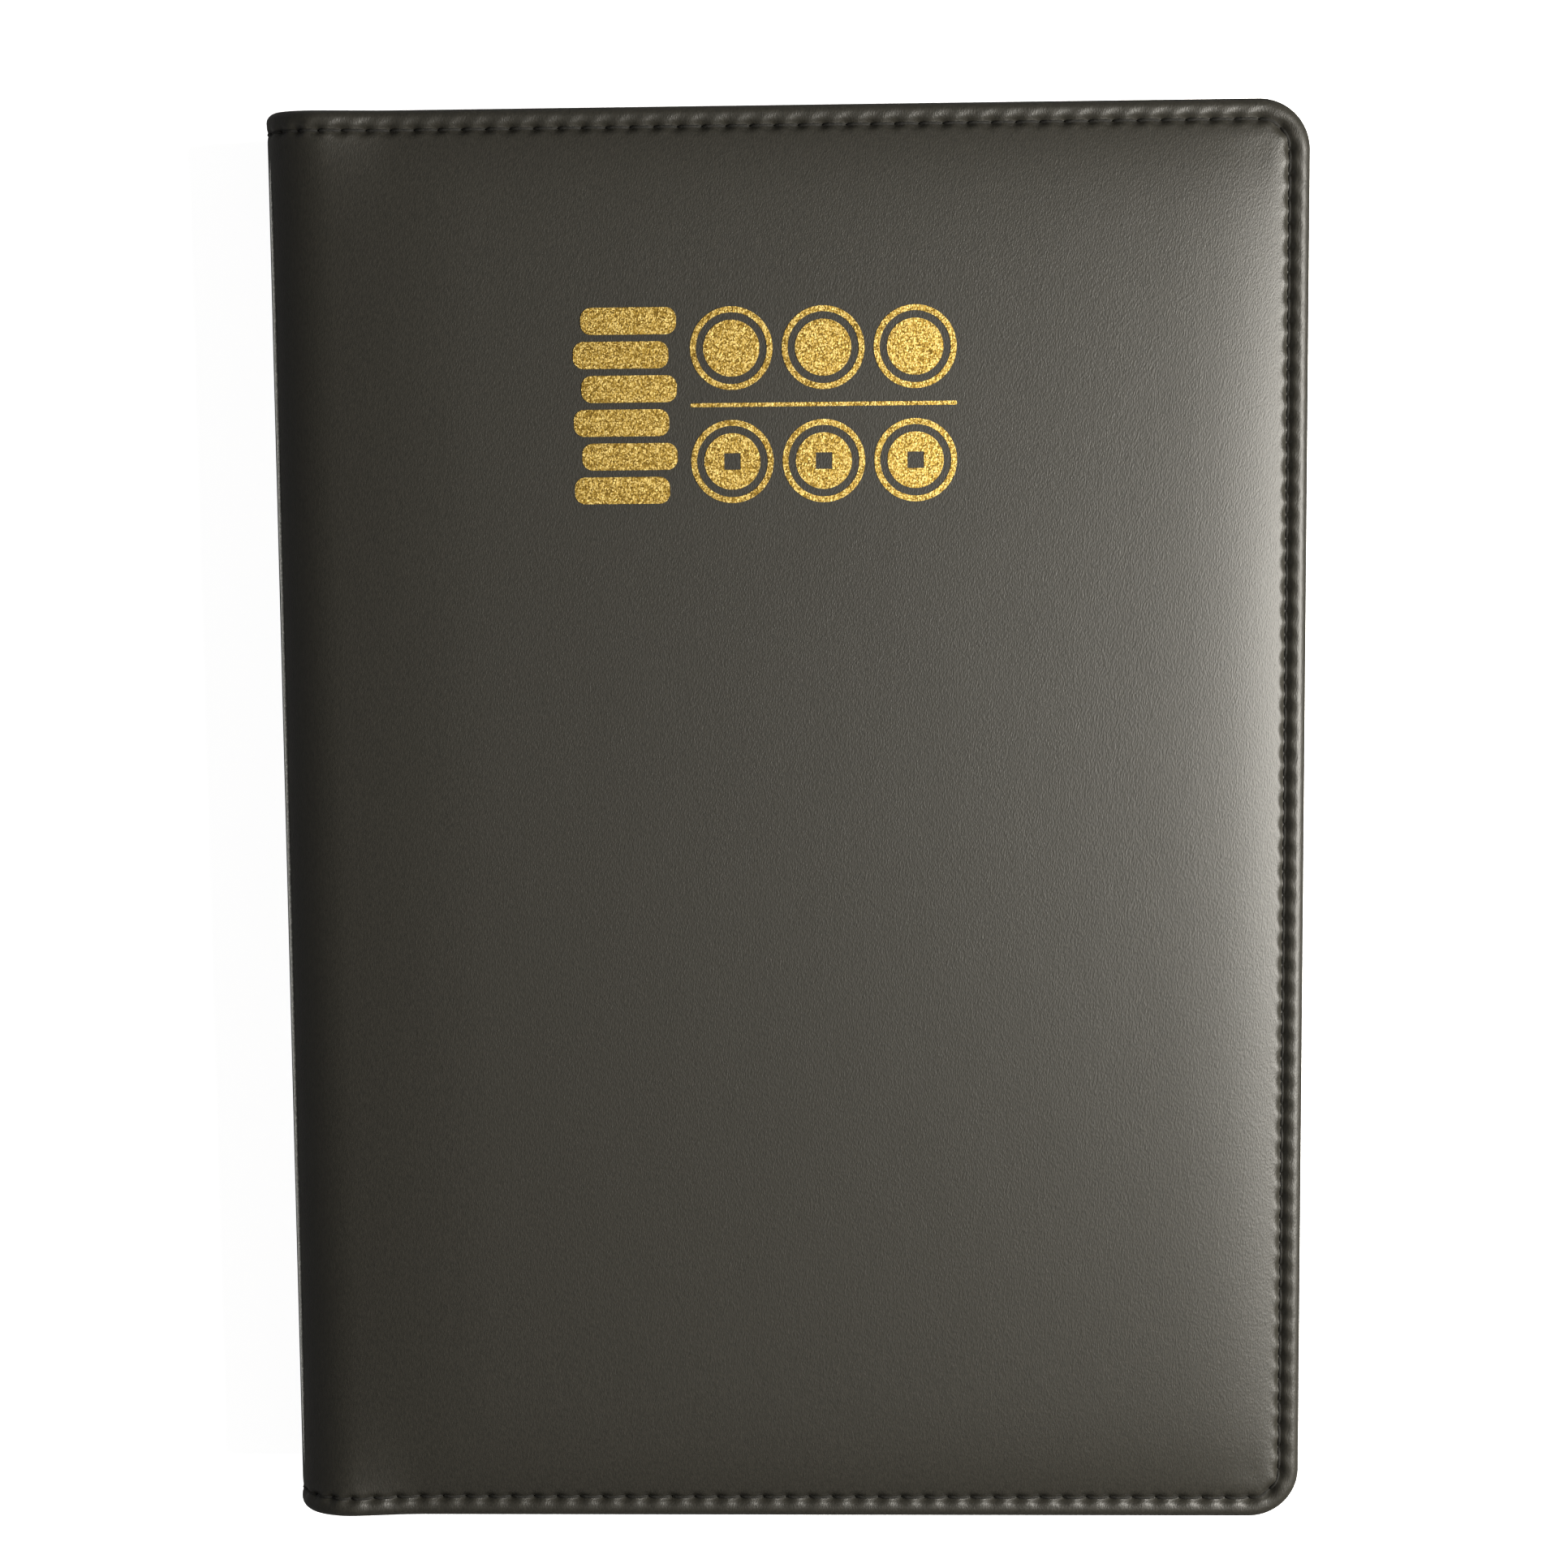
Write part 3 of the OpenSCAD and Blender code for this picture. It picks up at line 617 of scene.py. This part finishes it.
def bend_with(piece, side):
    """Bakes a piece's transform into its mesh; the crease's place on the given side is worked out but
    not used.
    """
    x, z = BEND_X - CREASE, BEND_Z + CREASE
    if side == "front":
        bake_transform(piece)
    else:
        z = TOP_Z - z
        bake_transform(piece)


# A piece's name after its side, its maker, its slot and the CAD node that it stands for.
COVER_PIECES = (
    ("cover_leatherette", skin_piece, "leatherette", "leatherette"),
    ("seam_thread", thread_piece, "thread", "stitching"),
    ("cover_lining", lining_piece, "lining", "lining"),
    ("foam_pad", foam_piece, "foam", "foam"),
)


def dress_covers():
    for kind, make, slot, stands_for in COVER_PIECES:
        front = make("front_" + kind)
        back = mirrored_piece(front, "back_" + kind)
        for side, piece in (("front", front), ("back", back)):
            nodes = [f"{side}_{stands_for}"]
            if kind == "foam_pad":
                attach(piece, f"{side}_cover")
            else:
                bend_with(piece, side)
                if side == "front":
                    nodes.append(f"spine_{stands_for}")
            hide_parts(*nodes)


dress_covers()


# ---------------------------------------------------------------- leaves
LEAVES, POCKET_COLUMNS, POCKET_ROWS = 10, 4, 5
BINDING_W, WELD_W, MOUTH_H = 17 * MM, 1.5 * MM, 3 * MM
FILM_T, FILM_BEVEL, POCKET_GAP = 0.25 * MM, 0.06 * MM, 0.4 * MM
RINGS, RING_PITCH, PUNCH_R, PUNCH_INSET = 4, 52 * MM, 3.5 * MM, 6.5 * MM
LEAF_CORNER_R, CORNER_STEPS, PUNCH_STEPS = 3 * MM, 7, 36
WELD_SINK, WELD_BACK = 0.34 * MM, 0.04 * MM
RIB_PITCH, RIB_LOW, RIB_HIGH = 1.2 * MM, 0.03 * MM, 0.1 * MM
# Distances from a weld at which a pocket's film swells, and where its plain part begins.
PILLOW = np.array([0, 0.8, 1.6, 2.4, 3.4, 5]) * MM
PLAIN_START, PLAIN_ROWS = 12 * MM, 4


def leaf_place(k):
    """A leaf's place, from its own frame, with x from its bound edge and z off its back film."""
    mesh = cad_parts[f"leaf_{k:02d}_sheet"].data
    up = max(mesh.polygons, key=lambda face: face.area).normal.copy()
    up = up if up.z > 0 else -up
    along = Vector((up.z, 0, -up.x))
    points = [v.co for v in mesh.vertices]
    spans = [v.dot(along) for v in points]
    start = along * min(spans) + up * min(v.dot(up) for v in points)
    place = Matrix((along, (0, 1, 0), up)).transposed().to_4x4()
    place.translation = start
    return place, max(spans) - min(spans), max(v.y for v in points)


def outline_plate(name, loops, low, high, bevel, material):
    """A flat plate with rounded edges: the first loop is its outline and the rest are holes."""
    data = bpy.data.curves.new(name + "_outline", "CURVE")
    data.dimensions, data.fill_mode = "2D", "BOTH"
    data.extrude, data.bevel_depth, data.bevel_resolution = (high - low) / 2 - bevel, bevel, 1
    data.offset = -bevel
    for loop in loops:
        spline = data.splines.new("POLY")
        spline.points.add(len(loop) - 1)
        for point, (x, y) in zip(spline.points, loop):
            point.co = (x, y, 0, 1)
        spline.use_cyclic_u = True
    outline = bpy.data.objects.new(name + "_outline", data)
    mesh = bpy.data.meshes.new_from_object(outline)
    mesh.name = name
    mesh.materials.clear()
    mesh.materials.append(material)
    mesh.transform(Matrix.Translation((0, 0, (low + high) / 2)))
    bpy.data.objects.remove(outline)
    return placed(name, mesh)


def arc_points(cx, cy, r, start, end, steps):
    return [(cx + r * math.cos(a), cy + r * math.sin(a)) for a in np.linspace(start, end, steps)]


def sheet_piece(name, width, half):
    """The back film of a leaf, punched for the rings."""
    r = LEAF_CORNER_R
    quarter = math.pi / 2
    centres = ((width - r, half - r), (r, half - r), (r, r - half), (width - r, r - half))
    outline = [p for i, (x, y) in enumerate(centres)
               for p in arc_points(x, y, r, i * quarter, (i + 1) * quarter, CORNER_STEPS)]
    holes = [arc_points(PUNCH_INSET, (i - (RINGS - 1) / 2) * RING_PITCH, PUNCH_R,
                        4 * quarter, 0, PUNCH_STEPS + 1)[:-1] for i in range(RINGS)]
    return outline_plate(name, [outline] + holes, 0, FILM_T, FILM_BEVEL, FILM)


def pocket_grid(width, half):
    """The lines of a leaf's pockets: x of each weld, pocket width, y of each row, pocket height."""
    pocket_w = (width - BINDING_W - WELD_W) / POCKET_COLUMNS
    pocket_h = 2 * half / POCKET_ROWS
    xs = [BINDING_W + i * pocket_w for i in range(POCKET_COLUMNS + 1)]
    ys = [i * pocket_h - half for i in range(POCKET_ROWS)]
    return xs, pocket_w, ys, pocket_h


def pockets_piece(name, width, half):
    """The front films of a leaf: each pocket swells from its welds to its open mouth."""
    b = Builder()
    xs, pocket_w, ys, pocket_h = pocket_grid(width, half)
    x_line, swell_x = [], []
    full = smooth_step(PILLOW / PILLOW[-1])
    for x in xs[:-1]:
        x_line += list(x + WELD_W / 2 + PILLOW) + list(x + WELD_W / 2 + pocket_w - PILLOW[::-1])
        swell_x += list(full) + list(full[::-1])
    x_line, swell_x = np.array([xs[0]] + x_line + [width]), np.array([0] + swell_x + [0])
    plain = np.linspace(PLAIN_START, pocket_h - MOUTH_H, PLAIN_ROWS)
    y_line = np.concatenate([[0], WELD_W + PILLOW, plain])
    swell_y = np.concatenate([[0], full, np.ones(PLAIN_ROWS)])
    x, y = np.meshgrid(x_line, y_line)
    low = FILM_T + POCKET_GAP - WELD_SINK * (1 - swell_x[None] * swell_y[:, None])
    for y0 in ys:
        under, over = (b.add(np.stack([x, y + y0, z], -1)).reshape(x.shape)
                       for z in (low, low + FILM_T))
        b.grid(list(over))
        b.grid([row[::-1] for row in under])
        rims = [np.concatenate([m[0], m[1:, -1], m[-1, -2::-1], m[-2:0:-1, 0]]) for m in (under, over)]
        b.strip(*rims, closed=True)
    return b.piece(name, FILM)


def ribbed_band(b, start, along, length, level):
    """One weld: a narrow band with ribs across it, pressed into the front film."""
    count = round(length / RIB_PITCH)
    t = np.linspace(0, length, 2 * count + 1)
    rise = np.where(np.arange(len(t)) % 2, RIB_HIGH, RIB_LOW)
    side = np.array([-along[1], along[0], 0.0])
    line = np.array(start) + t[:, None] * np.array(along)
    rows = []
    for across, share in ((0, 0), (0.25, 1), (0.75, 1), (1, 0)):
        row = line + side * WELD_W * across
        row[:, 2] = level + rise * share
        rows.append(b.add(row))
    for across in (1, 0):
        row = line + side * WELD_W * across
        row[:, 2] = level - FILM_T - WELD_BACK
        rows.append(b.add(row))
    b.grid(rows + rows[:1])
    b.cap([row[0] for row in rows])
    b.cap([row[-1] for row in rows], flip=True)


def welds_piece(name, width, half):
    """Every weld of a leaf: one under each row, and one up each side of every pocket."""
    b = Builder()
    xs, _, ys, pocket_h = pocket_grid(width, half)
    level = 2 * FILM_T + POCKET_GAP - WELD_SINK
    for y0 in ys:
        ribbed_band(b, (xs[0], y0, 0), (1.0, 0.0, 0.0), width - xs[0], level)
        for x in xs:
            start = (x + WELD_W, y0 + WELD_W, 0)
            ribbed_band(b, start, (0.0, 1.0, 0.0), pocket_h - MOUTH_H - WELD_W, level)
    return b.piece(name, WELD, smooth=False)


def dress_leaves():
    makers = {"sheet": (sheet_piece, "back_film", "clear_film"),
              "pockets": (pockets_piece, "pocket_films", "clear_film"),
              "welds": (welds_piece, "pocket_welds", "weld")}
    for k in range(1, LEAVES + 1):
        place, width, half = leaf_place(k)
        leaf = f"leaf_{k:02d}"
        for node, (make, kind, slot) in makers.items():
            piece = make(f"{leaf}_{kind}", width, half)
            piece.data.transform(place)
            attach(piece, leaf)
            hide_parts(f"{leaf}_{node}")


dress_leaves()


# ---------------------------------------------------------------- finishes of the CAD nodes
# By the last word of a node's name: every other node is steel.
NODE_FINISHES = {
    "leatherette": LEATHERETTE, "stitching": THREAD, "lining": LINING, "foam": FOAM, "board": BOARD,
    "emblem": GOLD, "sheet": FILM, "pockets": FILM, "welds": WELD,
}
for name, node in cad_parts.items():
    node.data.materials.clear()
    node.data.materials.append(NODE_FINISHES.get(name.rsplit("_", 1)[-1], STEEL))


# ---------------------------------------------------------------- floor, light and camera
FLOOR_HALF, FLOOR_GREY, FLOOR_GLOW = 20.0, 0.9, 0.9
BACKDROP_R, BACKDROP_SIDES = 12.0, 48
WHITE = (1, 1, 1, 1)
SKY_STRENGTH = 0.11
KEY_PLACE, KEY_AIM = (0.42, 0.01, 0.42), (0.02, 0, TOP_Z)
KEY_SIZE, KEY_WATTS, KEY_COLOR = (0.30, 0.40), 9.0, (1, 0.965, 0.89)


def floor():
    """A plain pale floor, hidden from reflections."""
    b = Builder()
    r = FLOOR_HALF
    b.cap(b.add([(-r, -r, 0), (r, -r, 0), (r, r, 0), (-r, r, 0)]))
    n = Nodes("floor")
    n.set(Base_Color=(FLOOR_GREY, FLOOR_GREY, FLOOR_GREY, 1), Roughness=0.9,
          Emission_Color=WHITE, Emission_Strength=FLOOR_GLOW)
    plane = b.piece("floor", n.material)
    plane.visible_glossy = False


def backdrop():
    """A pale wall round the floor that only the camera sees, so no dark sky shows in a low view."""
    b = Builder()
    around = np.linspace(0, 2 * math.pi, BACKDROP_SIDES, endpoint=False)
    ring = BACKDROP_R * np.stack([np.cos(around), np.sin(around)], -1)
    b.grid([b.add(np.c_[ring, np.full(len(ring), z)]) for z in (0, BACKDROP_R)], closed=True)
    n = Nodes("backdrop")
    n.set(Base_Color=(0, 0, 0, 1), Roughness=1.0, Emission_Color=WHITE, Emission_Strength=1.0)
    wall = b.piece("backdrop", n.material)
    wall.visible_diffuse = wall.visible_glossy = False
    wall.visible_transmission = wall.visible_shadow = False


def softbox(name, place, aim, size, power, color):
    data = bpy.data.lights.new(name, "AREA")
    data.shape, data.size, data.size_y = "RECTANGLE", *size
    data.energy, data.color = power, color
    lamp = placed(name, data)
    lamp.location = place
    lamp.rotation_euler = (Vector(aim) - Vector(place)).to_track_quat("-Z", "Y").to_euler()


def studio():
    world = bpy.data.worlds.new("studio")
    world.use_nodes = True
    background = world.node_tree.nodes["Background"].inputs
    background["Color"].default_value, background["Strength"].default_value = WHITE, SKY_STRENGTH
    bpy.context.scene.world = world
    softbox("key", KEY_PLACE, KEY_AIM, KEY_SIZE, KEY_WATTS, KEY_COLOR)


VIEW_DISTANCE = 0.510
TILT_TO_HEAD, TILT_TO_SPINE, ROLL = (math.radians(a) for a in (5.73, -1.83, 0.33))
LENS, SENSOR_W, SHIFT_X, SHIFT_Y = 65.75, 36.0, -0.0006, 0.0288


def camera():
    turn = (Matrix.Rotation(ROLL, 3, "Z") @ Matrix.Rotation(TILT_TO_SPINE, 3, "Y")
            @ Matrix.Rotation(TILT_TO_HEAD, 3, "X")).transposed()
    data = bpy.data.cameras.new("camera")
    data.lens, data.sensor_width, data.shift_x, data.shift_y = LENS, SENSOR_W, SHIFT_X, SHIFT_Y
    data.clip_start, data.clip_end = 0.01, 100.0
    cam = placed("camera", data)
    cam.matrix_world = turn.to_4x4()
    cam.location = Vector((0, 0, TOP_Z)) + turn @ Vector((0, 0, VIEW_DISTANCE))
    bpy.context.scene.camera = cam


floor()
backdrop()
studio()
camera()
bpy.context.scene.view_settings.view_transform = "Standard"
